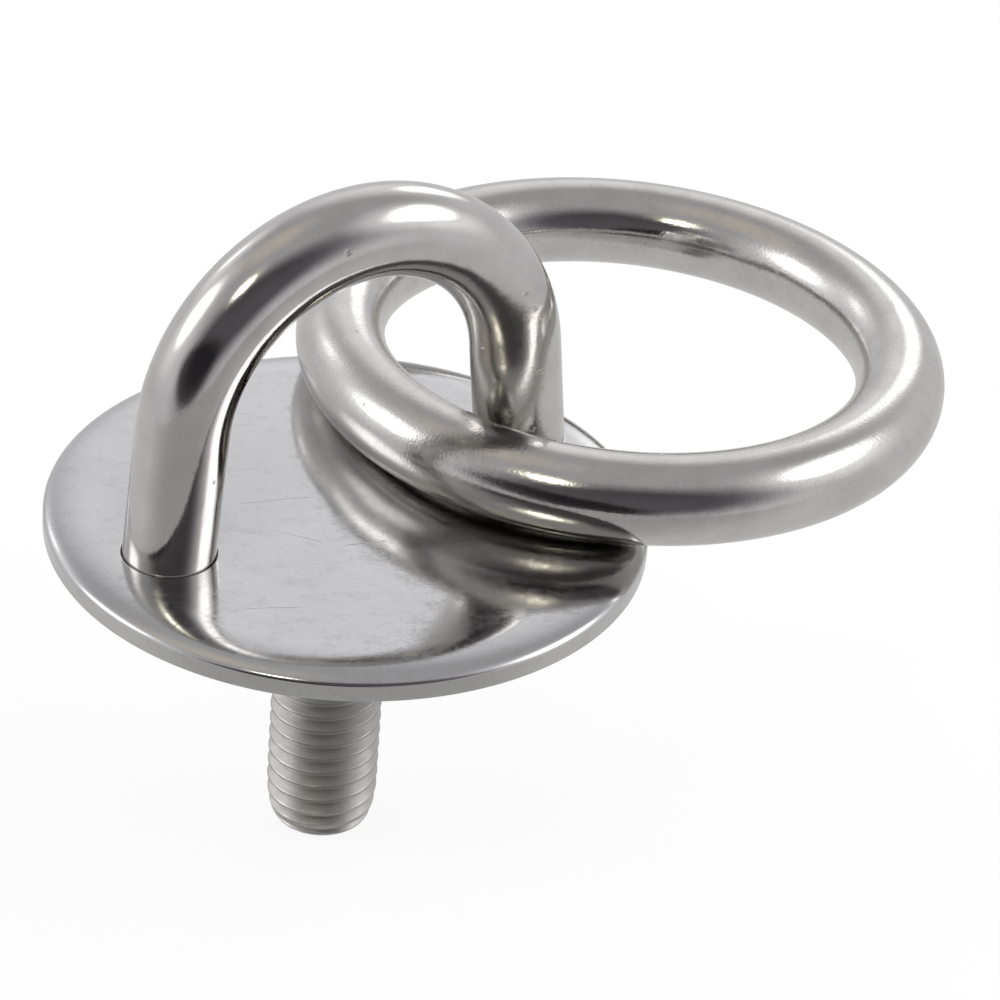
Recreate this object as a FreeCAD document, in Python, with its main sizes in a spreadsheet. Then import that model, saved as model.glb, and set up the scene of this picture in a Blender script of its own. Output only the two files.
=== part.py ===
import FreeCAD, Part
import Sketcher
import math
import os

# Ring on plate: a round deck plate with a bent-rod eye, a captive ring through the eye and a stud below.
# Millimetres and degrees. The origin is where the stud's axis meets the plate's underside, +Z points up
# out of the deck and +X runs along the eye, towards the leg that the ring lies round.

doc = FreeCAD.newDocument("RingOnPlate")

# Driving sizes, one named cell each
sizes = doc.addObject("Spreadsheet::Sheet", "Sizes")
SIZES = [
    ("plate_radius", 26.2, "round plate"),
    ("plate_thickness", 2.5, "round plate"),
    ("plate_edge_width", 4.3, "how far in from the rim the top face starts to roll off"),
    ("plate_edge_drop", 1.1, "how far the rolled edge falls to the upright band of the rim"),
    ("plate_edge_break", 0.2, "bevel between the band and the underside"),
    ("bow_rod_radius", 4.0, "rod of the eye"),
    ("bow_radius", 16.35, "centreline of the eye's arch"),
    ("bow_centre_height", 10.5, "arch centre above the plate's top face"),
    ("bow_offset", 0.2, "arch centre to the left of the plate's axis"),
    ("left_splay", 4.2, "lean of the left leg, outwards going down"),
    ("right_splay", 7.0, "lean of the right leg, outwards going down"),
    ("leg_hole_clearance", 0.15, "seam between a leg and its hole, all round"),
    ("leg_weld_depth", 1.0, "countersink and weld round a leg's end"),
    ("leg_weld_width", 0.9, "countersink and weld round a leg's end"),
    ("ring_rod_radius", 4.0, "rod of the ring"),
    ("ring_radius", 25.4, "centreline of the ring"),
    ("ring_yaw", 15.0, "how far the ring is turned away from the eye's line"),
    ("ring_leg_gap", 1.45, "between the ring and the right leg, straight across inside the eye"),
    ("ring_plate_gap", 0.4, "under the ring inside the eye"),
    ("ring_rim_gap", 0.17, "under the ring where the plate's flat top ends"),
    ("stud_radius", 4.93, "over the thread's crests"),
    ("stud_length", 30.0, "below the plate's underside"),
    ("stud_end_length", 4.2, "rounded end, along the stud"),
    ("stud_end_radius", 3.87, "flat tip of the rounded end"),
    ("stud_offset", 1.0, "stud's axis to the left of the plate's axis"),
    ("stud_root_radius", 4.2, "turned-down root that stands in the plate"),
    ("stud_root_depth", 1.3, "blind hole in the underside that the root stands in"),
    ("stud_hole_clearance", 0.05, "between the root and its hole, all round"),
    ("stud_weld_depth", 1.1, "countersink and weld round the stud's root"),
    ("stud_weld_width", 1.2, "how far the weld stands out round the stud on the underside"),
    ("thread_pitch", 1.5, "from one crest of the stud's thread to the next"),
    ("thread_depth", 0.85, "from the thread's crests down to its roots"),
    ("thread_crest", 0.19, "flat left along each crest"),
    ("thread_flank", 30.0, "lean of the thread's flanks from square across the stud"),
]
for row, (alias, value, meaning) in enumerate(SIZES, start=1):
    sizes.set(f"A{row}", alias)
    sizes.set(f"B{row}", str(value))
    sizes.setAlias(f"B{row}", alias)
    sizes.set(f"C{row}", meaning)
doc.recompute()

# Places that follow from the sizes, measured from the plate's axis and its underside
layout = doc.addObject("App::VarSet", "Layout")


def place(name, formula):
    """Adds a worked-out value to the layout, bound to its formula."""
    layout.addProperty("App::PropertyFloat", name, "Layout")
    layout.setExpression(name, formula)
    doc.recompute()


place("bow_centre_z", "Sizes.plate_thickness + Sizes.bow_centre_height")
place(
    "left_foot_x",
    "-Sizes.bow_offset - (Sizes.bow_radius + bow_centre_z * sin(Sizes.left_splay)) / cos(Sizes.left_splay)",
)
place(
    "right_foot_x",
    "-Sizes.bow_offset + (Sizes.bow_radius + bow_centre_z * sin(Sizes.right_splay)) / cos(Sizes.right_splay)",
)
place("leg_hole_radius", "Sizes.bow_rod_radius + Sizes.leg_hole_clearance")
place("stud_hole_radius", "Sizes.stud_root_radius + Sizes.stud_hole_clearance")
place("stud_weld_radius", "Sizes.stud_radius + Sizes.stud_weld_width")

place("thread_mouth_half", "(Sizes.thread_pitch - Sizes.thread_crest) / 2")
place("thread_root_half", "thread_mouth_half - Sizes.thread_depth * tan(Sizes.thread_flank)")
place("thread_turns", "floor(Sizes.stud_length / Sizes.thread_pitch)")

# The ring turns about the centre of its rod inside the eye, beside the right leg
place("ring_pivot_z", "Sizes.plate_thickness + Sizes.ring_plate_gap + Sizes.ring_rod_radius")
place(
    "ring_pivot_x",
    "right_foot_x - ring_pivot_z * tan(Sizes.right_splay)"
    " - (Sizes.bow_rod_radius + Sizes.ring_leg_gap + Sizes.ring_rod_radius) / cos(Sizes.right_splay)",
)

# It droops outwards until it lies on the plate where the flat top ends. Seen from above, the ring's centre,
# the plate's axis and that place make a triangle, and so do the first two with the pivot.
place("plate_flat_radius", "Sizes.plate_radius - Sizes.plate_edge_width")
place(
    "ring_centre_reach",
    "sqrt(ring_pivot_x ^ 2 + Sizes.ring_radius ^ 2"
    " + 2 * ring_pivot_x * Sizes.ring_radius * cos(Sizes.ring_yaw))",
)
place(
    "ring_rim_turn",
    "acos((Sizes.ring_radius ^ 2 + ring_centre_reach ^ 2 - plate_flat_radius ^ 2)"
    " / (2 * Sizes.ring_radius * ring_centre_reach))"
    " + acos((Sizes.ring_radius ^ 2 + ring_centre_reach ^ 2 - ring_pivot_x ^ 2)"
    " / (2 * Sizes.ring_radius * ring_centre_reach))",
)
place(
    "ring_droop",
    "asin((Sizes.ring_plate_gap - Sizes.ring_rim_gap) / (Sizes.ring_radius * (1 - cos(ring_rim_turn))))",
)


def new_body(label, stands_on):
    """Makes an empty body that carries its node's name, standing on the plate's axis or the stud's."""
    body = doc.addObject("PartDesign::Body", label)
    body.Label = label
    if stands_on == "plate":
        body.setExpression("Placement.Base.x", "Sizes.stud_offset")
    return body


def new_sketch(body, name, role):
    """Makes a sketch on one of the body's own origin planes."""
    sketch = body.newObject("Sketcher::SketchObject", name)
    plane = next(feature for feature in body.Origin.OriginFeatures if feature.Role == role)
    sketch.AttachmentSupport = [(plane, "")]
    sketch.MapMode = "FlatFace"
    doc.recompute()
    return sketch


def new_leg_sketch(body, name, side):
    """Makes an upright sketch that leans with one leg: its own upright axis is the leg's axis."""
    sketch = new_sketch(body, name, "XZ_Plane")
    lean = {"left": "-Sizes.left_splay", "right": "Sizes.right_splay"}[side]
    upright_turn = FreeCAD.Rotation(FreeCAD.Vector(0, 0, 1), sizes.left_splay)
    sketch.AttachmentOffset = FreeCAD.Placement(FreeCAD.Vector(), upright_turn)
    sketch.setExpression("AttachmentOffset.Base.x", f"Layout.{side}_foot_x")
    sketch.setExpression("AttachmentOffset.Rotation.Angle", lean)
    doc.recompute()
    return sketch


def bind(sketch, constraint, formula):
    """Adds a dimension to a sketch and ties its value to a formula."""
    index = sketch.addConstraint(constraint)
    sketch.setExpression(f"Constraints[{index}]", formula)


def worth(sketch, formula):
    """Works a formula out, for the first draft of a sketch."""
    return float(sketch.evalExpression(formula))


def hold(sketch, edge, end, across, up):
    """Holds one end of an edge at a place in its sketch, given by two formulas."""
    for kind, formula, axis in (("DistanceX", across, -2), ("DistanceY", up, -1)):
        if formula == "0":
            sketch.addConstraint(Sketcher.Constraint("PointOnObject", edge, end, axis))
        else:
            dimension = Sketcher.Constraint(kind, -1, 1, edge, end, worth(sketch, formula))
            bind(sketch, dimension, formula)


def outline(sketch, corners, rounded=None, long_way="Horizontal"):
    """Draws a closed outline, anticlockwise, through corners given by two formulas each.

    Its sides are straight, but the side that leaves the corner called rounded is a quarter of an ellipse,
    whose longer half lies the long way and ends at that corner.
    """
    points = [FreeCAD.Vector(worth(sketch, across), worth(sketch, up), 0) for across, up in corners]
    count = len(points)
    for index in range(count):
        start = points[index]
        end = points[(index + 1) % count]
        if index == rounded:
            level = long_way == "Horizontal"
            middle = FreeCAD.Vector(end.x, start.y, 0) if level else FreeCAD.Vector(start.x, end.y, 0)
            quarter = Part.ArcOfEllipse(Part.Ellipse(start, end, middle), 0, math.pi / 2)
            sketch.addGeometry(quarter)
        else:
            sketch.addGeometry(Part.LineSegment(start, end))
    for index, (across, up) in enumerate(corners):
        sketch.addConstraint(Sketcher.Constraint("Coincident", index, 2, (index + 1) % count, 1))
        hold(sketch, index, 1, across, up)
    if rounded is not None:
        first, second = ("Horizontal", "Vertical") if long_way == "Horizontal" else ("Vertical", "Horizontal")
        sketch.addConstraint(Sketcher.Constraint(first, rounded, 3, rounded, 1))
        sketch.addConstraint(Sketcher.Constraint(second, rounded, 3, rounded, 2))
        sketch.exposeInternalGeometry(rounded)
        sketch.addConstraint(Sketcher.Constraint(long_way, count))


def circle(sketch, radius):
    """Draws a circle about the sketch's origin."""
    sketch.addGeometry(Part.Circle(FreeCAD.Vector(), FreeCAD.Vector(0, 0, 1), worth(sketch, radius)))
    sketch.addConstraint(Sketcher.Constraint("Coincident", 0, 3, -1, 1))
    bind(sketch, Sketcher.Constraint("Radius", 0, worth(sketch, radius)), radius)


def turn(body, sketch, name, kind="Revolution"):
    """Turns a sketch once round its upright axis: a Revolution adds metal, a Groove cuts it away."""
    before = body.Shape.Volume if kind == "Groove" else 0
    feature = body.newObject(f"PartDesign::{kind}", name)
    feature.Profile = sketch
    feature.ReferenceAxis = (sketch, ["V_Axis"])
    feature.Angle = 360
    doc.recompute()
    if kind == "Groove" and not feature.Shape.Volume < before:
        raise RuntimeError(f"{name} cuts nothing")
    sketch.Visibility = False
    return feature


def grind_flush(body, name):
    """Takes off all that stands out below the plate's underside, out to twice the plate's radius."""
    before = body.Shape.Volume
    sketch = new_sketch(body, f"{name}Outline", "XY_Plane")
    circle(sketch, "2 * Sizes.plate_radius")
    cut = body.newObject("PartDesign::Pocket", name)
    cut.Profile = sketch
    cut.Type = "ThroughAll"
    doc.recompute()
    if not 0 < cut.Shape.Volume < before:
        raise RuntimeError(f"{name} cuts the wrong way")


# Round plate, turned from its half section: flat underside, upright band and a broad rolled-off top edge
base_plate = new_body("base_plate", "plate")
plate_section = new_sketch(base_plate, "PlateSection", "XZ_Plane")
outline(
    plate_section,
    [
        ("0", "0"),
        ("Sizes.plate_radius - Sizes.plate_edge_break", "0"),
        ("Sizes.plate_radius", "Sizes.plate_edge_break"),
        ("Sizes.plate_radius", "Sizes.plate_thickness - Sizes.plate_edge_drop"),
        ("Layout.plate_flat_radius", "Sizes.plate_thickness"),
        ("0", "Sizes.plate_thickness"),
    ],
    rounded=3,
)
turn(base_plate, plate_section, "PlateDisc")

# Leg holes, bored along the leaning legs and countersunk below for the weld
weld_slope = "Sizes.leg_weld_width / Sizes.leg_weld_depth"
reach = "Layout.leg_hole_radius"
for side in ("left", "right"):
    hole_section = new_leg_sketch(base_plate, f"{side.capitalize()}HoleSection", side)
    outline(
        hole_section,
        [
            ("0", f"-{reach}"),
            (f"Layout.leg_hole_radius + Sizes.leg_weld_width + {reach} * {weld_slope}", f"-{reach}"),
            ("Layout.leg_hole_radius", "Sizes.leg_weld_depth"),
            ("Layout.leg_hole_radius", f"Sizes.plate_thickness + {reach}"),
            ("0", f"Sizes.plate_thickness + {reach}"),
        ],
    )
    turn(base_plate, hole_section, f"{side.capitalize()}LegHole", "Groove")

# Blind hole and countersink in the underside for the stud's root
stud_hole_section = new_sketch(base_plate, "StudHoleSection", "XZ_Plane")
stud_hole_section.setExpression("AttachmentOffset.Base.x", "-Sizes.stud_offset")
outline(
    stud_hole_section,
    [
        ("0", "0"),
        ("Layout.stud_weld_radius", "0"),
        ("Layout.stud_hole_radius", "Sizes.stud_weld_depth"),
        ("Layout.stud_hole_radius", "Sizes.stud_root_depth"),
        ("0", "Sizes.stud_root_depth"),
    ],
)
turn(base_plate, stud_hole_section, "StudHole", "Groove")

# Eye: one rod, bent to an arch with leaning legs, run down through the plate and ground flush below it
eye_bow = new_body("eye_bow", "plate")
bow_path = new_sketch(eye_bow, "BowPath", "XZ_Plane")
arch_centre = FreeCAD.Vector(-sizes.bow_offset, layout.bow_centre_z, 0)
right_angle = math.radians(sizes.right_splay)
left_angle = math.radians(180 - sizes.left_splay)
right_end = arch_centre + sizes.bow_radius * FreeCAD.Vector(math.cos(right_angle), math.sin(right_angle), 0)
left_end = arch_centre + sizes.bow_radius * FreeCAD.Vector(math.cos(left_angle), math.sin(left_angle), 0)
left_foot = FreeCAD.Vector(layout.left_foot_x, 0, 0)
right_foot = FreeCAD.Vector(layout.right_foot_x, 0, 0)
full_arch = Part.Circle(arch_centre, FreeCAD.Vector(0, 0, 1), sizes.bow_radius)
left_leg = bow_path.addGeometry(Part.LineSegment(left_foot, left_end))
arch = bow_path.addGeometry(Part.ArcOfCircle(full_arch, right_angle, left_angle))
right_leg = bow_path.addGeometry(Part.LineSegment(right_end, right_foot))
bow_path.addConstraint(Sketcher.Constraint("Tangent", left_leg, 2, arch, 2))
bow_path.addConstraint(Sketcher.Constraint("Tangent", arch, 1, right_leg, 1))
hold(bow_path, arch, 3, "-Sizes.bow_offset", "Layout.bow_centre_z")
bind(bow_path, Sketcher.Constraint("Radius", arch, sizes.bow_radius), "Sizes.bow_radius")
lean_up = math.radians(90 - sizes.left_splay)
lean_down = math.radians(sizes.right_splay - 90)
bind(bow_path, Sketcher.Constraint("Angle", left_leg, lean_up), "90 - Sizes.left_splay")
bind(bow_path, Sketcher.Constraint("Angle", right_leg, lean_down), "Sizes.right_splay - 90")
for leg, foot in ((left_leg, 1), (right_leg, 2)):
    low = Sketcher.Constraint("DistanceY", -1, 1, leg, foot, -sizes.bow_rod_radius)
    bind(bow_path, low, "-Sizes.bow_rod_radius")
doc.recompute()

bow_section = eye_bow.newObject("Sketcher::SketchObject", "BowSection")
bow_section.AttachmentSupport = [(bow_path, "Edge1")]
bow_section.MapMode = "NormalToEdge"
doc.recompute()
circle(bow_section, "Sizes.bow_rod_radius")
bent_rod = eye_bow.newObject("PartDesign::AdditivePipe", "BentRod")
bent_rod.Profile = bow_section
bent_rod.Spine = (bow_path, [])
doc.recompute()
grind_flush(eye_bow, "LegEndsFlush")

# Welds round the leg ends fill the countersinks and are ground flush with the legs
for side in ("left", "right"):
    leg_weld = new_body(f"{side}_leg_weld", "plate")
    bead_section = new_leg_sketch(leg_weld, f"{side.capitalize()}BeadSection", side)
    outline(
        bead_section,
        [
            ("Sizes.bow_rod_radius", f"-{reach}"),
            (f"Layout.leg_hole_radius + Sizes.leg_weld_width + {reach} * {weld_slope}", f"-{reach}"),
            ("Layout.leg_hole_radius", "Sizes.leg_weld_depth"),
            ("Sizes.bow_rod_radius", "Sizes.leg_weld_depth"),
        ],
    )
    turn(leg_weld, bead_section, f"{side.capitalize()}Bead")
    grind_flush(leg_weld, f"{side.capitalize()}BeadFlush")

# Stud, turned from its half section over the thread's crests, with a rounded end and a thinner root
threaded_stud = new_body("threaded_stud", "stud")
stud_section = new_sketch(threaded_stud, "StudSection", "XZ_Plane")
outline(
    stud_section,
    [
        ("0", "-Sizes.stud_length"),
        ("Sizes.stud_end_radius", "-Sizes.stud_length"),
        ("Sizes.stud_radius", "-Sizes.stud_length + Sizes.stud_end_length"),
        ("Sizes.stud_radius", "0"),
        ("Sizes.stud_root_radius", "0"),
        ("Sizes.stud_root_radius", "Sizes.stud_root_depth"),
        ("0", "Sizes.stud_root_depth"),
    ],
    rounded=1,
    long_way="Vertical",
)
turn(threaded_stud, stud_section, "StudBlank")

# Its thread's crests and roots, one level groove for each turn, from the plate down into the rounded end
half_pitch = "Sizes.thread_pitch / 2"
past_crest = "(Layout.thread_mouth_half + Sizes.thread_crest * tan(Sizes.thread_flank))"
root_section = new_sketch(threaded_stud, "ThreadRootSection", "XZ_Plane")
outline(
    root_section,
    [
        ("Sizes.stud_radius - Sizes.thread_depth", f"-{half_pitch} - Layout.thread_root_half"),
        ("Sizes.stud_radius + Sizes.thread_crest", f"-{half_pitch} - {past_crest}"),
        ("Sizes.stud_radius + Sizes.thread_crest", f"-{half_pitch} + {past_crest}"),
        ("Sizes.stud_radius - Sizes.thread_depth", f"-{half_pitch} + Layout.thread_root_half"),
    ],
)
first_root = turn(threaded_stud, root_section, "ThreadRoot", "Groove")
thread = threaded_stud.newObject("PartDesign::LinearPattern", "Thread")
thread.Originals = [first_root]
thread.Direction = (root_section, ["V_Axis"])
thread.Reversed = True
thread.Mode = "Spacing"
thread.setExpression("Offset", "Sizes.thread_pitch")
thread.setExpression("Occurrences", "Layout.thread_turns")
threaded_stud.Tip = thread
doc.recompute()

# Weld round the stud's root, flush with the underside so that the plate seats flat
stud_weld = new_body("stud_weld", "stud")
stud_bead_section = new_sketch(stud_weld, "StudBeadSection", "XZ_Plane")
outline(
    stud_bead_section,
    [
        ("Sizes.stud_root_radius", "0"),
        ("Layout.stud_weld_radius", "0"),
        ("Layout.stud_hole_radius", "Sizes.stud_weld_depth"),
        ("Sizes.stud_root_radius", "Sizes.stud_weld_depth"),
    ],
)
turn(stud_weld, stud_bead_section, "StudBead")

# Ring: a closed round ring, drawn from its pivot in the eye and turned about a line one ring radius away
ring = new_body("ring", "plate")
ring_section = new_sketch(ring, "RingSection", "XZ_Plane")
circle(ring_section, "Sizes.ring_rod_radius")
axis_start = FreeCAD.Vector(sizes.ring_radius, 0, 0)
axis_end = axis_start + FreeCAD.Vector(0, sizes.ring_rod_radius, 0)
ring_axis = ring_section.addGeometry(Part.LineSegment(axis_start, axis_end), True)
hold(ring_section, ring_axis, 1, "Sizes.ring_radius", "0")
hold(ring_section, ring_axis, 2, "Sizes.ring_radius", "Sizes.ring_rod_radius")
ring_round = ring.newObject("PartDesign::Revolution", "RingRound")
ring_round.Profile = ring_section
ring_round.ReferenceAxis = (ring_section, ["Axis0"])
ring_round.Angle = 360

# It lies turned by its yaw and drooping outwards, on to the plate's rolled edge
ring.setExpression(
    "Placement",
    "placement(vector(Sizes.stud_offset + Layout.ring_pivot_x; 0; Layout.ring_pivot_z);"
    " rotation(Sizes.ring_yaw; Layout.ring_droop; 0))",
)
doc.recompute()

# Nothing is written unless the whole document and every piece came out sound
pieces = [item for item in doc.Objects if item.TypeId == "PartDesign::Body"]
for item in doc.Objects:
    if "Invalid" in item.State or "Error" in item.State:
        raise RuntimeError(f"{item.Label} did not recompute")
    if item.TypeId == "Sketcher::SketchObject" and not item.FullyConstrained:
        raise RuntimeError(f"{item.Label} is not fully constrained")
for piece in pieces:
    if piece.Shape.isNull() or not piece.Shape.isValid() or len(piece.Shape.Solids) != 1:
        raise RuntimeError(f"{piece.Label} is not one sound solid")

os.makedirs("parts", exist_ok=True)
for piece in pieces:
    piece.Shape.exportStep(f"parts/{piece.Label}.step")

pivot = ring.Placement.Base
print(f"ring pivot {pivot.x:.4f} {pivot.y:.4f} {pivot.z:.4f} mm, droop {layout.ring_droop:.4f} degrees")
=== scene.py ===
import math

import bmesh
import bpy
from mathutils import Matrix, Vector


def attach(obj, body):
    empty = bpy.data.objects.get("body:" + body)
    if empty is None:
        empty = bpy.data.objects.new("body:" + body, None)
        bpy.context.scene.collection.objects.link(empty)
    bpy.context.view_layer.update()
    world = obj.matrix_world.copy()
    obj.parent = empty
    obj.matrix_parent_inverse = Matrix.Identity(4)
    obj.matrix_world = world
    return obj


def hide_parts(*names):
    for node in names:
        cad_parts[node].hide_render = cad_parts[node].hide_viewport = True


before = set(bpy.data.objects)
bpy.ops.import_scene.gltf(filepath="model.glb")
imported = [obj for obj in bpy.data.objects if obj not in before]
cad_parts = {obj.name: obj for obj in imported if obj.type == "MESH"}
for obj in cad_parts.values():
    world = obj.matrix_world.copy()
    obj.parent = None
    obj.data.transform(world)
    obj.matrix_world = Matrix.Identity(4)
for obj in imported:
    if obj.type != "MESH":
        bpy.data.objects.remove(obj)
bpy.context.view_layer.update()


# Camera: a long lens a forearm away from the fitting, looking down on it past the left leg of the eye.
# Nothing is cropped or shifted, the frame is square.
lens = bpy.data.cameras.new("view_over_the_plate")
lens.sensor_width = 36.0
lens.lens = 161.135
lens.clip_start = 0.01
lens.clip_end = 50.0
camera = bpy.data.objects.new("view_over_the_plate", lens)
bpy.context.collection.objects.link(camera)
camera.location = (-0.169651, -0.277777, 0.211438)
camera.rotation_euler = [math.radians(angle) for angle in (57.4411, -3.8765, -31.4005)]
bpy.context.scene.camera = camera
bpy.context.scene.view_settings.view_transform = "Standard"


# Base plate: a thick round disc of stainless steel, pressed so that its top rolls off to a thinner
# rim, bored right through on two leaning axes for the eye and from below for the stud, then polished.
mm = 0.001
plate_middle = 1.0 * mm
plate_top = 2.5 * mm
flat_radius = 21.9 * mm
roll_width = 4.3 * mm
roll_drop = 1.1 * mm
roll_fullness = 2.3
roll_steps = 40
rim_radius = flat_radius + roll_width
rim_levels = (1.1 * mm, 0.8 * mm, 0.5 * mm)
rim_break = 0.2 * mm
rim_around = 320
corner_steps = 8
corner_angle = 32

# The bores follow the eye, so its arch and the outward lean of its legs come here.
arch_radius = 16.35 * mm
arch_middle = Vector((0.8, 0.0, 13.0)) * mm
left_lean = math.radians(4.2)
right_lean = math.radians(7.0)
hole_radius = 4.05 * mm
hole_lip = 0.16 * mm
hole_around = 112
foot_radius = 5.05 * mm
foot_depth = 1.0 * mm

stud_hole_radius = 4.25 * mm
stud_hole_depth = 1.3 * mm
stud_hole_around = 128
stud_foot_radius = 6.13 * mm
stud_foot_depth = 1.1 * mm


def hoop(mesh, middle, radius, height, count, lean=0.0):
    """A level loop of points, stretched where it cuts a leaning bore."""
    points = []
    for step in range(count):
        turn = 2 * math.pi * step / count
        across = middle + height * math.tan(lean) + radius * math.cos(turn) / math.cos(lean)
        points.append(mesh.verts.new((across, radius * math.sin(turn), height)))
    return points


def walls(mesh, loops):
    """Closed bands of faces, from each loop of points to the next."""
    for upper, lower in zip(loops, loops[1:]):
        for step in range(len(upper)):
            after = (step + 1) % len(upper)
            mesh.faces.new((upper[step], upper[after], lower[after], lower[step]))


def level_face(mesh, outline, holes, up):
    """The flat face inside one loop and outside the others."""
    borders = []
    for loop in [outline] + holes:
        for step in range(len(loop)):
            borders.append(mesh.edges.get((loop[step - 1], loop[step])))
    bmesh.ops.triangle_fill(mesh, use_beauty=True, edges=borders, normal=(0.0, 0.0, up))


def finish_mesh(mesh, name, sharp_angle=30):
    """Turns the worked mesh into an object with smooth faces and crisp corners."""
    bmesh.ops.recalc_face_normals(mesh, faces=mesh.faces)
    data = bpy.data.meshes.new(name)
    mesh.to_mesh(data)
    mesh.free()
    data.shade_smooth()
    data.set_sharp_from_angle(angle=math.radians(sharp_angle))
    made = bpy.data.objects.new(name, data)
    bpy.context.collection.objects.link(made)
    return made


def leg_foot(way, lean):
    """How far across the plate a leg of the eye meets the seat: way is -1 for left and 1 for right."""
    arch_end = arch_middle.z + arch_radius * math.sin(lean)
    return arch_middle.x + way * (arch_radius * math.cos(lean) + arch_end * math.tan(lean))


work = bmesh.new()
rim_loops = []
for step in range(roll_steps + 1):
    sweep = math.radians(90) * step / roll_steps
    level = (1 - math.sin(sweep) ** roll_fullness) ** (1 / roll_fullness)
    radius = flat_radius + roll_width * math.sin(sweep)
    rim_loops.append(hoop(work, plate_middle, radius, plate_top - roll_drop * (1 - level), rim_around))
for height in rim_levels:
    rim_loops.append(hoop(work, plate_middle, rim_radius, height, rim_around))
for step in range(corner_steps + 1):
    sweep = math.radians(90) * step / corner_steps
    radius = rim_radius - rim_break * (1 - math.cos(sweep))
    height = rim_break * (1 - math.sin(sweep))
    rim_loops.append(hoop(work, plate_middle, radius, height, rim_around))
walls(work, rim_loops)

top_holes = []
foot_holes = []
for way, lean in ((-1, left_lean), (1, right_lean)):
    foot = leg_foot(way, lean)
    bore = []
    for step in range(corner_steps + 1):
        sweep = math.radians(90) * step / corner_steps
        radius = hole_radius + hole_lip * (1 - math.sin(sweep))
        height = plate_top - hole_lip * (1 - math.cos(sweep))
        bore.append(hoop(work, foot, radius, height, hole_around, -way * lean))
    bore.append(hoop(work, foot, hole_radius, foot_depth, hole_around, -way * lean))
    bore.append(hoop(work, foot, foot_radius, 0.0, hole_around, -way * lean))
    walls(work, bore)
    top_holes.append(bore[0])
    foot_holes.append(bore[-1])
stud_bore = [
    hoop(work, 0.0, stud_foot_radius, 0.0, stud_hole_around),
    hoop(work, 0.0, stud_hole_radius, stud_foot_depth, stud_hole_around),
    hoop(work, 0.0, stud_hole_radius, stud_hole_depth, stud_hole_around),
]
walls(work, stud_bore)
work.faces.new(stud_bore[-1])
level_face(work, rim_loops[0], top_holes, 1.0)
level_face(work, rim_loops[-1], foot_holes + [stud_bore[0]], -1.0)
plate = finish_mesh(work, "polished_base_plate", corner_angle)


class Flow:
    """What comes out of one node of a material, ready to be reckoned with: 1 - mask, mask * 0.2."""

    def __init__(self, tree, socket=None):
        self.tree = tree
        self.socket = socket

    def node(self, kind, settings=None, sockets=None, out=0):
        """Any node: its type, what is set on it first, then what goes into its sockets."""
        made = self.tree.nodes.new(kind)
        for name, value in (settings or {}).items():
            setattr(made, name, value)
        for name, value in (sockets or {}).items():
            if isinstance(value, Flow):
                self.tree.links.new(value.socket, made.inputs[name])
            else:
                made.inputs[name].default_value = value
        return Flow(self.tree, made.outputs[out])

    def reckon(self, operation, *values):
        """One node of shader maths on numbers."""
        return self.node("ShaderNodeMath", {"operation": operation}, dict(enumerate(values)))

    def steer(self, operation, *values, out=0):
        """One node of shader maths on positions and directions."""
        return self.node("ShaderNodeVectorMath", {"operation": operation}, dict(enumerate(values)), out)

    def __add__(self, other):
        return self.reckon("ADD", self, other)

    __radd__ = __add__

    def __sub__(self, other):
        return self.reckon("SUBTRACT", self, other)

    def __rsub__(self, other):
        return self.reckon("SUBTRACT", other, self)

    def __mul__(self, other):
        return self.reckon("MULTIPLY", self, other)

    __rmul__ = __mul__

    def __pow__(self, other):
        return self.reckon("POWER", self, other)

    def __abs__(self):
        return self.reckon("ABSOLUTE", self)

    def larger(self, other):
        return self.reckon("MAXIMUM", self, other)

    def smaller(self, other):
        return self.reckon("MINIMUM", self, other)

    def waves(self):
        """Waves from 0 to 1 and back, one for every 2 pi that this grows by."""
        return self.reckon("SINE", self) * 0.5 + 0.5

    def fade(self, start, end):
        """0 at start, 1 at end, smooth between, whichever of the two is larger."""
        ends = {"Value": self, "From Min": start, "From Max": end}
        return self.node("ShaderNodeMapRange", {"interpolation_type": "SMOOTHSTEP"}, ends)

    def stretched(self, *factors):
        return self.steer("MULTIPLY", self, factors)

    def moved(self, *steps):
        return self.steer("ADD", self, steps)

    def heading(self):
        """The same direction, with a length of 1."""
        return self.steer("NORMALIZE", self)

    def along(self, *direction):
        return self.steer("DOT_PRODUCT", self, direction, out=1)

    def far_from(self, *point):
        return self.steer("DISTANCE", self, point, out=1)

    def off_axis(self, across=0.0):
        """How far a position is from the upright line this far across the plate."""
        return self.moved(-across, 0.0, 0.0).stretched(1.0, 1.0, 0.0).far_from(0.0, 0.0, 0.0)

    def height(self):
        return self.node("ShaderNodeSeparateXYZ", None, {0: self}, out=2)

    def noise(self, size, detail=2.0, rough=0.5):
        """Cloudy 0 to 1 noise over a position in millimetres, its blots about this many wide."""
        looks = {"Vector": self, "Scale": 1.0 / size, "Detail": detail, "Roughness": rough}
        return self.node("ShaderNodeTexNoise", None, looks)

    def tint(self, low, high):
        """The colour between two as this goes from 0 to 1. A Mix node has its colours in 6 and 7."""
        ends = {0: self, 6: low if isinstance(low, Flow) else low + (1.0,), 7: high + (1.0,)}
        return self.node("ShaderNodeMix", {"data_type": "RGBA"}, ends, out=2)


def bare_nodes(owner, kind="ShaderNodeOutputMaterial"):
    """The emptied node tree of a material or of the room, and its new output node."""
    owner.use_nodes = True
    owner.node_tree.nodes.clear()
    return owner.node_tree, owner.node_tree.nodes.new(kind)


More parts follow.
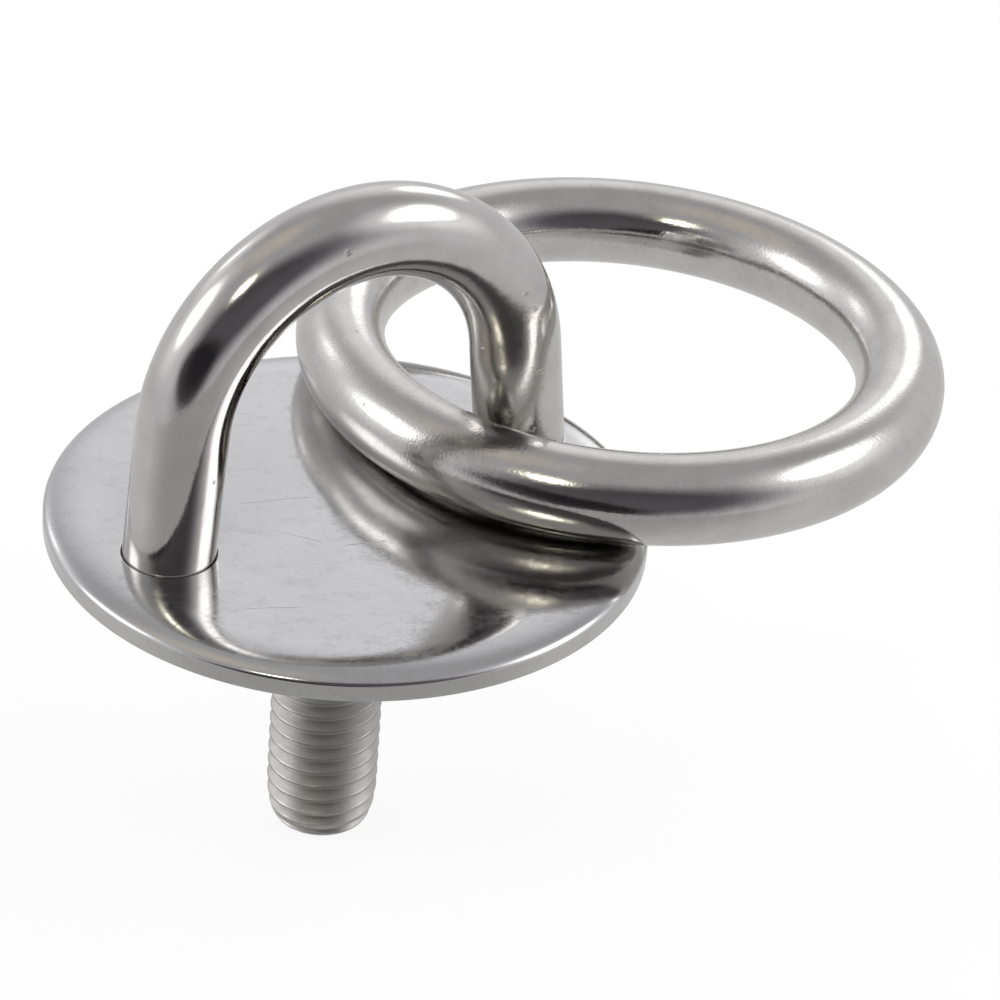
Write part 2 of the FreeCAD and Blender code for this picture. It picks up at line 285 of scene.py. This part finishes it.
def open_metal(name):
    """An empty metal finish, its shader and the position on the piece in millimetres."""
    finish = bpy.data.materials.new(name)
    tree, output = bare_nodes(finish)
    shader = tree.nodes.new("ShaderNodeBsdfPrincipled")
    shader.inputs["Metallic"].default_value = 1.0
    tree.links.new(shader.outputs[0], output.inputs["Surface"])
    place = Flow(tree).node("ShaderNodeTexCoord", out=3).stretched(1 / mm, 1 / mm, 1 / mm)
    return finish, shader, place


def dress_metal(shader, colour, gloss, relief, depth):
    """Gives a metal its colour, its roughness and a relief of this many metres at 1."""
    bump = relief.node("ShaderNodeBump", None, {"Height": relief, "Distance": depth, "Strength": 1.0})
    relief.tree.links.new(colour.socket, shader.inputs["Base Color"])
    relief.tree.links.new(gloss.socket, shader.inputs["Roughness"])
    relief.tree.links.new(bump.socket, shader.inputs["Normal"])


def scratch(place, wobble, start, end, width):
    """1 on a hairline between two points on the level top, in millimetres, 0 beside it."""
    run = Vector(end) - Vector(start)
    length = run.length
    ahead = run / length
    away = place.moved(-start[0], -start[1], 0.0)
    line = away.along(ahead.x, ahead.y, 0.0)
    side = abs(away.along(-ahead.y, ahead.x, 0.0) + wobble)
    inside = line.fade(-0.4, 0.6) * line.fade(length + 0.4, length - 0.6)
    return side.fade(width, width * 0.2) * inside


plate_bright = (0.590, 0.584, 0.578)
plate_dull = (0.43, 0.42, 0.405)
polishing_turn = math.radians(31.0)
top_scratches = (
    ((-7.4, 4.0), (-1.4, 2.2), 0.06),
    ((-14.9, -10.4), (-10.4, -12.3), 0.06),
    ((-2.6, -5.6), (0.9, -6.5), 0.07),
    ((-6.2, -1.9), (-3.9, -4.4), 0.04),
    ((5.0, -9.8), (9.6, -10.6), 0.04),
)
plate_polish, shader, place = open_metal("plate_polish")
below = place.height().fade(0.06, 0.03)
turned = {"Vector": place, "Rotation": (0.0, 0.0, polishing_turn)}
laid = place.node("ShaderNodeMapping", None, turned)
clouds = place.noise(8.0, 2.0, 0.55)
haze = laid.stretched(0.75, 1.1, 1.0).noise(1.6, 3.0, 0.65)
grain = laid.stretched(0.75, 1.2, 1.0).noise(0.24, 1.0)
wobble = (clouds - 0.5) * 0.8
scuffs = sum(scratch(place, wobble, start, end, width) for start, end, width in top_scratches)
lathe_marks = (place.off_axis(plate_middle / mm) * 21.0 + clouds * 5.0).waves()
darkening = haze.fade(0.5, 0.75) * 0.25 + grain.fade(0.5, 0.8) * 0.2 + scuffs.smaller(1.0) * 0.9
colour = (darkening + clouds.fade(0.35, 0.7) * 0.15).tint(plate_bright, plate_dull)
gloss = 0.10 + haze.fade(0.4, 0.72) * 0.08 + grain.fade(0.45, 0.8) * 0.07 + scuffs * 0.1
gloss = gloss + below * (lathe_marks * 0.08 + 0.14)
relief = haze * 0.06 + grain * 0.035 - scuffs * 0.08 + below * lathe_marks * 0.06
dress_metal(shader, colour, gloss, relief, 0.06 * mm)
plate.data.materials.append(plate_polish)
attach(plate, "plate")
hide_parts("base_plate")


# Eye: one bright rod of round stainless bar, bent into an arch with two leaning legs that go down
# through the plate's bores and are ground flush underneath. Knocks from chain and hooks mark it.
rod_radius = 4.0 * mm
rod_around = 112
rod_edge_angle = 40
arch_steps = 160
leg_shares = (0.0, 0.08, 0.2, 0.4, 0.6, 0.8, 0.92)
seat_level = 0.0
front_to_back = Vector((0.0, 1.0, 0.0))


def rod(name, stations, closed):
    """A round rod swept along stations of centre, outward side and other side, its ends cut level with
    the seat. Each point keeps its straightened place: across the rod, and along it, in millimetres."""
    mesh = bmesh.new()
    straight = mesh.verts.layers.float_vector.new("straight")
    loops = []
    run = 0.0
    before = stations[0][0]
    for centre, outward, sideways in stations:
        run += (centre - before).length
        before = centre
        ahead = outward.cross(sideways)
        loop = []
        for step in range(rod_around):
            turn = 2 * math.pi * step / rod_around
            across = math.cos(turn) * rod_radius
            over = math.sin(turn) * rod_radius
            point = centre + outward * across + sideways * over
            if not closed and centre.z <= seat_level + 0.0001 * mm:
                point = point - ahead * ((point.z - seat_level) / ahead.z)
            vertex = mesh.verts.new(point)
            vertex[straight] = (across / mm, over / mm, run / mm)
            loop.append(vertex)
        loops.append(loop)
    walls(mesh, loops + loops[:1] if closed else loops)
    if not closed:
        mesh.faces.new(loops[0])
        mesh.faces.new(loops[-1])
    return finish_mesh(mesh, name, rod_edge_angle)


def arch_out(angle):
    """The way out from the arch's middle, at this angle up from the right."""
    return Vector((math.cos(angle), 0.0, math.sin(angle)))


def leg(angle):
    """The stations of the leg that starts at this end of the arch, from the seat upwards."""
    out = arch_out(angle)
    top = arch_middle + out * arch_radius
    bottom = top + Vector((math.tan(angle), 0.0, -1.0)) * top.z
    return [(bottom.lerp(top, share), out, front_to_back) for share in leg_shares]


left_angle = math.pi - left_lean
bow_stations = leg(right_lean)
for step in range(arch_steps + 1):
    out = arch_out(right_lean + (left_angle - right_lean) * step / arch_steps)
    bow_stations.append((arch_middle + out * arch_radius, out, front_to_back))
bow_stations += reversed(leg(left_angle))
bow = rod("bent_eye", bow_stations, False)


def knock(place, ragged, point, size):
    """1 in a small dent about a point on the piece, in millimetres, 0 round it."""
    edge = place.far_from(*point) + ragged
    return edge.fade(size * 1.25, size * 0.1)


bow_bright = (0.612, 0.594, 0.572)
worn_steel = (0.43, 0.41, 0.39)
bow_knocks = (
    ((-2.65, -3.83, 30.18), 0.34),
    ((15.18, -3.94, 22.12), 0.32),
    ((16.23, -3.93, 20.37), 0.30),
    ((17.09, -3.85, 19.23), 0.25),
    ((17.26, -4.00, 13.78), 0.30),
    ((12.97, -1.14, 15.91), 0.28),
    ((15.11, -3.08, 9.67), 0.24),
    ((16.98, -3.90, 8.11), 0.30),
    ((-14.38, -3.76, 11.02), 0.22),
)
bow_polish, shader, place = open_metal("bow_polish")
straight = place.node("ShaderNodeAttribute", {"attribute_name": "straight"}, out=1)
drawn_lines = straight.stretched(6.0, 6.0, 0.25).noise(1.0, 2.0, 0.6)
clouds = place.noise(4.0, 2.0, 0.55)
grain = place.noise(0.24, 1.0)
ragged = (grain - 0.5) * 0.35
dents = sum(knock(place, ragged, point, size) for point, size in bow_knocks)
rubbed = place.far_from(17.5, -1.0, 8.0).fade(10.0, 4.5)
worn = clouds.fade(0.35, 0.7) * 0.3 + grain.fade(0.6, 0.8) * (rubbed * 0.3 + 0.25) + dents * 0.9
colour = worn.tint(bow_bright, worn_steel)
gloss = 0.08 + clouds.fade(0.4, 0.75) * 0.03 + drawn_lines.fade(0.5, 0.85) * 0.04
gloss = gloss + grain.fade(0.45, 0.8) * 0.05 + rubbed * 0.09
relief = clouds * 0.3 + drawn_lines * 0.03 + grain * (rubbed * 0.09 + 0.02) - dents * 0.32
dress_metal(shader, colour, gloss, relief, 0.08 * mm)
bow.data.materials.append(bow_polish)
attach(bow, "plate")
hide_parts("eye_bow")


# Leg welds and stud weld: the countersinks under the plate are filled with weld metal round each leg
# and round the stud, then ground flush with the seat. Swirls of the grinding disc are left in them.
weld_dull = (0.40, 0.385, 0.365)
weld_bright = (0.52, 0.51, 0.50)
ground_welds = (
    ("left_leg_weld", -16.5, -24.0),
    ("right_leg_weld", 18.9, 9.0),
    ("stud_weld", 0.0, -7.0),
)


def ground_weld(name, across, disc_across):
    """Weld metal this far across the plate, with arcs round the middle of the disc that ground it."""
    finish, shader, place = open_metal(name)
    clouds = place.noise(1.6, 3.0, 0.6)
    arcs = (place.far_from(disc_across, -3.0, 0.0) * 26.0 + clouds * 6.0).waves()
    ripples = (place.off_axis(across) * 5.0 + clouds * 9.0).waves()
    pores = place.noise(0.32, 1.0).fade(0.74, 0.8)
    colour = (clouds * 0.7 + ripples * 0.3).fade(0.25, 0.8).tint(weld_dull, weld_bright)
    gloss = 0.24 + arcs * 0.1 + clouds.fade(0.4, 0.8) * 0.1 + pores * 0.2
    relief = arcs * 0.12 + ripples * 0.2 + clouds * 0.3 - pores * 0.6
    dress_metal(shader, colour, gloss, relief, 0.05 * mm)
    return finish


for node, across, disc_across in ground_welds:
    finish = ground_weld(node + "_ground", across, disc_across)
    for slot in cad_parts[node].material_slots:
        slot.link = "OBJECT"
        slot.material = finish


# Stud: a rolled right-hand thread of ten millimetres across and one and a half to a turn, its end
# rounded off so that it finds its hole. Plain satin metal, with painted shade in its roots and along its
# crest.
pitch = 1.5 * mm
crest_radius = 4.93 * mm
root_radius = 4.08 * mm
crest_round = 0.15
flank_end = 0.9
stud_length = 30.0 * mm
end_length = 4.2 * mm
end_radius = 3.87 * mm
shank_radius = 4.18 * mm
shank_top = 0.8 * mm
thread_around = 120
thread_rows = 24
turns_past_end = 2.203
run_past_seat = 2.6 * mm
thread_edge_angle = 50


def thread_profile(share):
    """How far out the thread stands, 0 at its root and 1 at its crest, over one turn's pitch."""
    from_crest = abs(share - 0.5) * 2
    slope = 1 / (flank_end - crest_round / 2)
    if from_crest < crest_round:
        return 1 - slope * from_crest ** 2 / (2 * crest_round)
    return max(1 - slope * (from_crest - crest_round / 2), 0.0)


def stud_point(row, step):
    """A point of the thread: how many rows up the spiral it is, and how many steps round."""
    height = first_row + pitch * (row / thread_rows + step / thread_around)
    stands_out = thread_profile((row % thread_rows) / thread_rows)
    radius = root_radius + (crest_radius - root_radius) * stands_out
    into_end = (-height - (stud_length - end_length)) / end_length
    if into_end > 0:
        bulge = math.sqrt(max(1 - min(into_end, 1.0) ** 2, 0.0))
        radius = min(radius, end_radius + (crest_radius - end_radius) * bulge)
    if height > 0:
        radius = min(radius, shank_radius)
    turn = 2 * math.pi * step / thread_around
    return radius * math.cos(turn), radius * math.sin(turn), height


# The spiral starts over two turns below the tip and ends past the seat. Both ends are then cut level.
first_row = -(stud_length + turns_past_end * pitch)
rows = int((run_past_seat - first_row) / pitch * thread_rows)
work = bmesh.new()
spiral = []
for row in range(rows):
    spiral.append([work.verts.new(stud_point(row, step)) for step in range(thread_around)])
# The last point of each row joins the first point of the row that is one turn higher.
for row in range(rows - thread_rows):
    low = spiral[row]
    high = spiral[row + 1]
    for step in range(thread_around - 1):
        work.faces.new((low[step], low[step + 1], high[step + 1], high[step]))
    if row + 1 + thread_rows < rows:
        low_next = spiral[row + thread_rows]
        high_next = spiral[row + 1 + thread_rows]
        work.faces.new((low[-1], low_next[0], high_next[0], high[-1]))
loose = [vertex for vertex in work.verts if not vertex.link_faces]
bmesh.ops.delete(work, geom=loose, context="VERTS")
for height, up in ((-stud_length, -1.0), (shank_top, 1.0)):
    level = {"plane_co": (0.0, 0.0, height), "plane_no": (0.0, 0.0, up)}
    everything = work.verts[:] + work.edges[:] + work.faces[:]
    cut = bmesh.ops.bisect_plane(work, geom=everything, clear_outer=True, **level)
    ends = [part for part in cut["geom_cut"] if isinstance(part, bmesh.types.BMEdge)]
    bmesh.ops.triangle_fill(work, use_beauty=True, edges=ends, normal=(0.0, 0.0, up))
bmesh.ops.remove_doubles(work, verts=work.verts[:], dist=0.0005 * mm)
stud = finish_mesh(work, "rolled_stud", thread_edge_angle)

thread_bright = (0.58, 0.56, 0.53)
thread_dull = (0.50, 0.48, 0.45)
crest_shade_colour = (0.20, 0.19, 0.18)
stud_nicks = (
    ((-4.4, -2.2, -16.2), 0.24),
    ((-3.5, -3.4, -19.8), 0.27),
    ((-1.3, -4.7, -9.4), 0.20),
)
stud_satin, shader, place = open_metal("stud_satin")
out = place.off_axis()
# Painted shade: the thread roots are coloured darker, as if shadowed under the crests.
root = out.fade(4.4, 4.1) * place.height().fade(-29.6, -28.6)
# Painted shade: a dark line coloured along the thread's crest.
painted_crest_shade = out.fade(4.88, 4.915)
grime = place.noise(1.3, 4.0, 0.62)
rolled = place.stretched(0.8, 0.8, 7.0).noise(0.8, 3.0, 0.6)
ragged = (place.noise(0.45, 1.0) - 0.5) * 0.5
nicks = sum(knock(place, ragged, point, size) for point, size in stud_nicks)
# Painted shade in the thread roots, mixed with the real grime.
darkening = root * 0.75 + grime.fade(0.35, 0.75) * 0.35
colour = (painted_crest_shade * 0.6).tint(darkening.tint(thread_bright, thread_dull), crest_shade_colour)
gloss = 0.35 + grime.fade(0.35, 0.75) * 0.08 + root * 0.12 + painted_crest_shade * 0.08 + nicks * 0.1
relief = rolled * 0.12 + grime * 0.25 - nicks
dress_metal(shader, colour, gloss, relief, 0.06 * mm)
stud.data.materials.append(stud_satin)
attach(stud, "plate")
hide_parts("threaded_stud")


# Ring: the same rod bent to a full circle and butt welded, with the joint polished out. It is caught
# round the eye's right leg, lies on the plate's rolled edge, and has a softer polish than the eye.
ring_radius = 25.4 * mm
ring_yaw = math.radians(15.0)
ring_droop = math.radians(1.7436)
ring_steps = 360
pivot = Vector((8.5008, 0.0, 6.9)) * mm
away = Vector((
    math.cos(ring_yaw) * math.cos(ring_droop),
    math.sin(ring_yaw) * math.cos(ring_droop),
    -math.sin(ring_droop),
))
over = Vector((-math.sin(ring_yaw), math.cos(ring_yaw), 0.0))
ring_middle = pivot + away * ring_radius
ring_up = away.cross(over)
ring_stations = []
for step in range(ring_steps):
    turn = 2 * math.pi * step / ring_steps
    out = away * math.cos(turn) + over * math.sin(turn)
    ring_stations.append((ring_middle + out * ring_radius, out, ring_up))
ring = rod("loose_ring", ring_stations, True)

ring_bright = (0.612, 0.596, 0.572)
ring_knocks = (
    ((8.93, 13.08, 10.77), 0.23),
    ((4.61, 4.18, 9.38), 0.23),
    ((10.04, -3.96, 10.89), 0.23),
    ((22.0, -19.5, 9.9), 0.20),
)
ring_polish, shader, place = open_metal("ring_polish")
straight = place.node("ShaderNodeAttribute", {"attribute_name": "straight"}, out=1)
fine_lines = straight.stretched(5.0, 5.0, 0.5).noise(1.0, 2.0, 0.6)
clouds = place.noise(3.5, 3.0, 0.6)
grain = place.noise(0.24, 1.0)
ragged = (grain - 0.5) * 0.35
dents = sum(knock(place, ragged, point, size) for point, size in ring_knocks)
satin = place.far_from(24.0, -18.0, 6.0).fade(8.0, 22.0)
satin = satin * place.far_from(44.0, 27.0, 6.0).fade(5.0, 18.0)
worn = clouds.fade(0.35, 0.7) * 0.3 + grain.fade(0.55, 0.8) * 0.4 + dents * 0.9
colour = worn.tint(ring_bright, worn_steel)
gloss = 0.08 + clouds.fade(0.4, 0.75) * 0.05 + fine_lines.fade(0.5, 0.85) * 0.04
gloss = gloss + grain.fade(0.45, 0.8) * 0.06 + satin * 0.08
relief = clouds * 0.25 + fine_lines * 0.035 + grain * (satin * 0.08 + 0.045) - dents * 0.22
dress_metal(shader, colour, gloss, relief, 0.08 * mm)
ring.data.materials.append(ring_polish)
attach(ring, "ring")
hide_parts("ring")


# Studio: a plain pale floor under the stud's tip and a white room lit by five soft boxes, with the dark
# side of the room behind the camera. All of it is fixed in the room and stays there when the view turns.
floor_level = -30.05 * mm
floor_reach = 0.2
floor_mesh = bmesh.new()
for across, back in ((-1, -1), (1, -1), (1, 1), (-1, 1)):
    floor_mesh.verts.new((across * floor_reach, back * floor_reach, floor_level))
floor_mesh.faces.new(floor_mesh.verts[:])
floor = finish_mesh(floor_mesh, "studio_floor")


def rays(tree):
    """Two masks: 1 for what the camera sees directly, and 1 for that and what it sees in metal or glass."""
    paths = tree.nodes.new("ShaderNodeLightPath").outputs
    camera_ray = Flow(tree, paths["Is Camera Ray"])
    glossy_ray = Flow(tree, paths["Is Glossy Ray"])
    transmission_ray = Flow(tree, paths["Is Transmission Ray"])
    return camera_ray, camera_ray.larger(glossy_ray).larger(transmission_ray)


pale = bpy.data.materials.new("pale_floor")
tree, output = bare_nodes(pale)
camera_ray, shown = rays(tree)
place = Flow(tree).node("ShaderNodeTexCoord", out=3)
facing = place.moved(0.0, 0.0, -floor_level).heading()
# Painted shade on the floor's glow: the metal mirrors the floor darker than the camera sees it, and darkest
# on the camera's side.
in_metal = 0.7 - facing.along(-0.5, -0.87, 0.0).fade(0.2, 0.95) * 0.26
clear = place.far_from(0.0, 0.0, floor_level).fade(0.05, 0.09)
on_paper = 1.095 - clear * 0.095
bright = in_metal + camera_ray * (on_paper - in_metal)
paint = place.node("ShaderNodeBsdfDiffuse", None, {"Color": (0.9, 0.9, 0.9, 1.0)})
white = place.node("ShaderNodeEmission", None, {"Color": bright, "Strength": 1.0})
glowing = shown * (0.8 + clear * 0.2)
blended = place.node("ShaderNodeMixShader", None, {0: glowing, 1: paint, 2: white})
tree.links.new(blended.socket, output.inputs["Surface"])
floor.data.materials.append(pale)


def aim(azimuth, elevation):
    """The direction at this azimuth, clockwise from +Y, and this height over the horizon."""
    turn = math.radians(azimuth)
    rise = math.radians(elevation)
    return Vector((math.sin(turn) * math.cos(rise), math.cos(turn) * math.cos(rise), math.sin(rise)))


def faced(azimuth, elevation, roll):
    """The right and top of something that hangs in this direction and faces the fitting."""
    across = Vector((math.cos(math.radians(azimuth)), -math.sin(math.radians(azimuth)), 0.0))
    upward = across.cross(aim(azimuth, elevation))
    lean = math.radians(roll)
    right = across * math.cos(lean) + upward * math.sin(lean)
    top = upward * math.cos(lean) - across * math.sin(lean)
    return right, top


box_distance = 1.2
box_around = 32
box_levels = (1.0, 0.88, 0.76, 0.64, 0.52, 0.4, 0.28)
hem_light = 0.95


def soft_box(name, azimuth, elevation, half_width, half_height, roll, face, hue):
    """A round lit cloth of these half sizes in degrees, its middle brighter than its hem by face."""
    middle = aim(azimuth, elevation) * box_distance
    right, top = faced(azimuth, elevation, roll)
    wide = box_distance * math.tan(math.radians(half_width))
    high = box_distance * math.tan(math.radians(half_height))
    cloth = bmesh.new()
    share = cloth.verts.layers.float.new("share")
    loops = []
    for level in box_levels:
        loop = []
        for step in range(box_around):
            turn = 2 * math.pi * step / box_around
            off = right * math.cos(turn) * wide * level + top * math.sin(turn) * high * level
            vertex = cloth.verts.new(middle + off)
            vertex[share] = level
            loop.append(vertex)
        loops.append(loop)
    walls(cloth, loops)
    cloth.faces.new(loops[-1])
    box = finish_mesh(cloth, name)
    lit = bpy.data.materials.new(name)
    tree, output = bare_nodes(lit)
    out_from_middle = Flow(tree).node("ShaderNodeAttribute", {"attribute_name": "share"}, out=2)
    hem = tuple(part * hem_light for part in hue)
    full = tuple(part * (hem_light + face) for part in hue)
    colour = out_from_middle.fade(1.0, 0.35).tint(hem, full)
    glow = colour.node("ShaderNodeEmission", None, {"Color": colour, "Strength": 1.0})
    tree.links.new(glow.socket, output.inputs["Surface"])
    box.data.materials.append(lit)
    box.visible_camera = False


daylight = (0.99, 0.99, 1.02)
lamplight = (1.04, 1.02, 0.88)
soft_box("soft_box_behind_the_camera", -122.0, 48.5, 7.8, 7.6, 0.0, 4.6, lamplight)
soft_box("soft_box_on_the_left", -57.0, 27.0, 19.5, 18.0, 0.0, 2.1, daylight)
soft_box("soft_box_far_off", -12.5, 23.5, 6.5, 9.0, -30.0, 1.0, daylight)
soft_box("soft_box_at_the_back", 51.5, 23.5, 12.0, 15.0, 5.0, 1.3, daylight)
soft_box("soft_box_on_the_right", 118.0, 38.0, 22.0, 16.5, -8.0, 2.6, daylight)


def reach(looking, azimuth, elevation, half_width, half_height, roll):
    """How far a direction is from the middle of a patch of the room, in the patch's own half sizes."""
    half_depth = 0.7
    middle = aim(azimuth, elevation)
    right, top = faced(azimuth, elevation, roll)
    wide = looking.along(*(right / math.sin(math.radians(half_width))))
    high = looking.along(*(top / math.sin(math.radians(half_height))))
    deep = looking.along(*(middle / half_depth)) - 1.0 / half_depth
    return (wide * wide + high * high + deep * deep) ** 0.5


def shine(looking, azimuth, elevation, edge, core):
    """A round shine on the room's wall, 1 within core of its middle and 0 from edge outwards."""
    return looking.far_from(*aim(azimuth, elevation)).fade(edge, core)


room_cool = (0.987, 0.993, 1.027)
room_dusk = (1.03, 0.955, 1.07)
room_lamp = (1.05, 1.02, 0.85)
room_ceiling = (1.06, 0.99, 0.91)
room = bpy.data.worlds.new("white_room")
bpy.context.scene.world = room
tree, output = bare_nodes(room, "ShaderNodeOutputWorld")
camera_ray, shown = rays(tree)
looking = Flow(tree).node("ShaderNodeTexCoord").heading()
rise = looking.height()
room_walls = 0.73 - rise.fade(0.3, 0.84) * 0.25 - rise.fade(0.0, -0.4) * 0.1
dark_side = reach(looking, -152.0, 22.0, 58.0, 33.0, -9.0).fade(1.4, 0.6)
dark_heart = reach(looking, -129.0, 5.0, 34.0, 14.0, 17.0).fade(1.2, 0.75)
level = room_walls * (1 - dark_side * 0.84) * (1 - dark_heart * 0.8)
lamp = shine(looking, -122.0, 48.5, 0.25, 0.07)
ceiling = shine(looking, -46.0, 68.0, 0.46, 0.10)
glows = (
    lamp * 0.24
    + shine(looking, -54.0, 26.0, 0.60, 0.14) * 0.42
    + shine(looking, -14.0, 23.0, 0.36, 0.06) * 0.42
    + shine(looking, 38.0, 30.0, 0.52, 0.10) * 0.38
    + shine(looking, 122.0, 35.0, 0.60, 0.16) * 0.54
    + ceiling * 0.13
)
strength = (level + glows) * (0.9 + shown * 0.1)
hue = dark_side.tint(room_cool, room_dusk)
hue = lamp.tint(hue, room_lamp)
hue = ceiling.tint(hue, room_ceiling)
lit = hue.node("ShaderNodeVectorMath", {"operation": "SCALE"}, {0: hue, 3: strength})
studio = hue.node("ShaderNodeBackground", None, {"Color": lit, "Strength": 1.0})
backdrop = hue.node("ShaderNodeBackground", None, {"Color": (1.0, 1.0, 1.0, 1.0), "Strength": 1.0})
seen = hue.node("ShaderNodeMixShader", None, {0: camera_ray, 1: studio, 2: backdrop})
tree.links.new(seen.socket, output.inputs["Surface"])

# Ring, eye and plate mirror each other in narrow gaps, where four reflections, Blender's own limit,
# leave them black.
bpy.context.scene.cycles.glossy_bounces = 12
